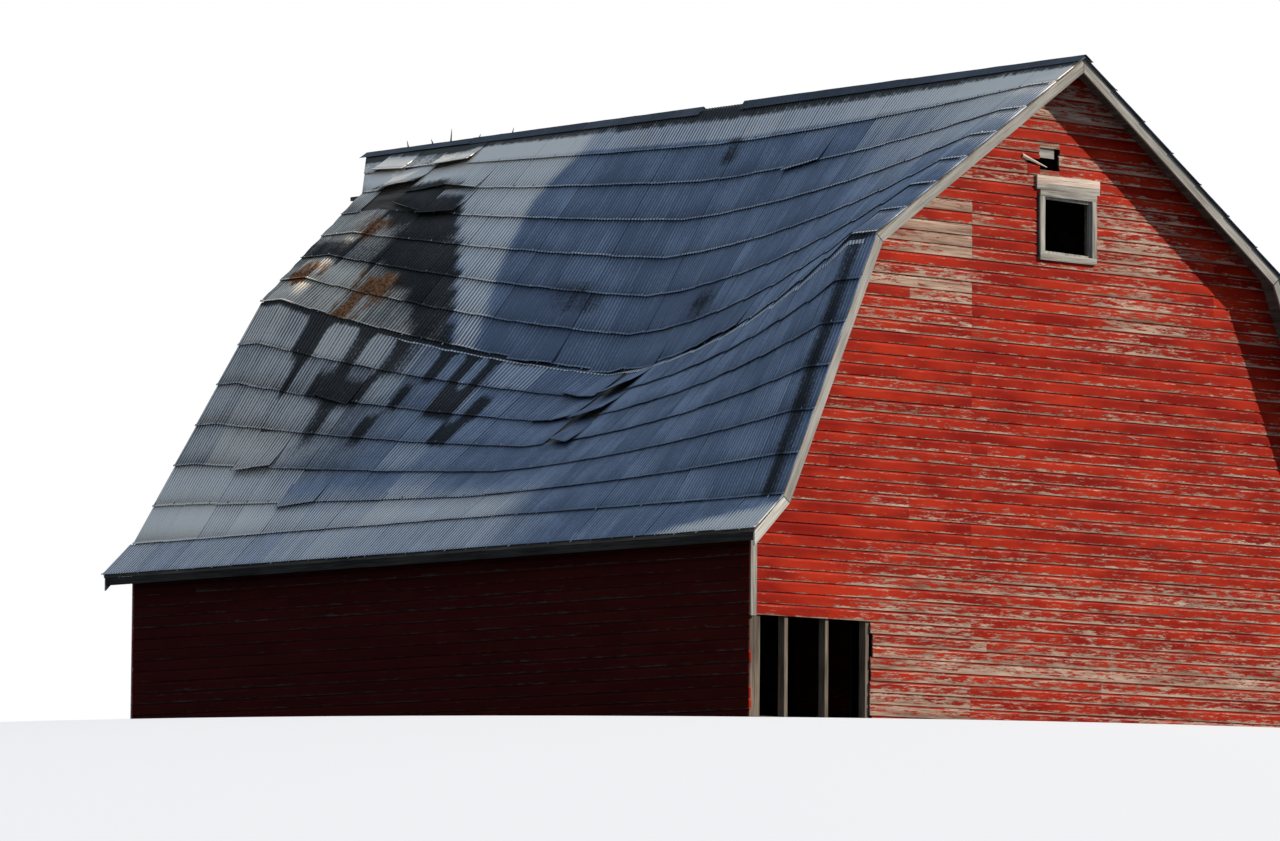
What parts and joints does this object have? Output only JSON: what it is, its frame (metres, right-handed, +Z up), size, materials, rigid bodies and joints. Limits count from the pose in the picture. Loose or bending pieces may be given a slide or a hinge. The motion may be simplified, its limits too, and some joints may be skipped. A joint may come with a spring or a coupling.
{
  "type": "sagging gambrel-roofed wooden barn",
  "caption": "Old red wooden barn with a swaybacked gambrel roof, flared eaves, a loft window, a hay hood and an open rear doorway, hollow inside.",
  "frame": {"origin": "on the ground under the middle of the whole outline", "axes": "+Z up, ridge along Y, front gable with the loft window towards -Y, X across the gables"},
  "size_m": [10.1162, 12.78, 7.7854],
  "materials": {
    "framing_timber": "rough sawn, weathered brown grey",
    "floor_boards": "worn boards",
    "roof_boards": "rough boards under corrugated metal sheets",
    "red_siding": "faded red paint peeling to grey wood",
    "grey_trim": "bare weathered grey",
    "roof_metal": "dull galvanised corrugated steel, stained and rusting"
  },
  "bodies": {
    "root": {"collar_ties": "framing_timber", "corner_boards": "grey_trim", "corner_posts": "framing_timber", "doorway_frame": "framing_timber", "eave_lookouts": "framing_timber", "end_plates": "framing_timber", "end_sills": "framing_timber", "fascias": "grey_trim", "flare_decks": "roof_boards", "flare_sheets": "roof_metal", "front_base_siding": "red_siding", "front_gable_siding": "red_siding", "front_gable_studs": "framing_timber", "front_lower_studs": "framing_timber", "front_peak_siding": "red_siding", "front_rake_boards": "grey_trim", "front_window_siding": "red_siding", "gable_girts": "framing_timber", "hay_door": "red_siding", "left_lower_deck": "roof_boards", "left_lower_rafters": "framing_timber", "left_lower_sheets": "roof_metal", "left_siding": "red_siding", "left_upper_deck": "roof_boards", "left_upper_rafters": "framing_timber", "left_upper_sheets": "roof_metal", "loft_floor": "floor_boards", "loft_girders": "framing_timber", "loft_joists": "framing_timber", "loft_posts": "framing_timber", "peak_patch": "grey_trim", "rear_base_siding": "red_siding", "rear_gable_siding": "red_siding", "rear_gable_studs": "framing_timber", "rear_lower_studs": "framing_timber", "rear_peak_siding": "red_siding", "rear_rake_boards": "grey_trim", "ridge_board": "framing_timber", "ridge_cap": "roof_metal", "right_lower_deck": "roof_boards", "right_lower_rafters": "framing_timber", "right_lower_sheets": "roof_metal", "right_siding": "red_siding", "right_upper_deck": "roof_boards", "right_upper_rafters": "framing_timber", "right_upper_sheets": "roof_metal", "side_plates": "framing_timber", "side_sills": "framing_timber", "side_studs": "framing_timber", "soffits": "grey_trim", "window_casing": "grey_trim", "window_framing": "framing_timber", "window_head_boards": "grey_trim", "window_sash": "grey_trim"}
  },
  "joints": []
}
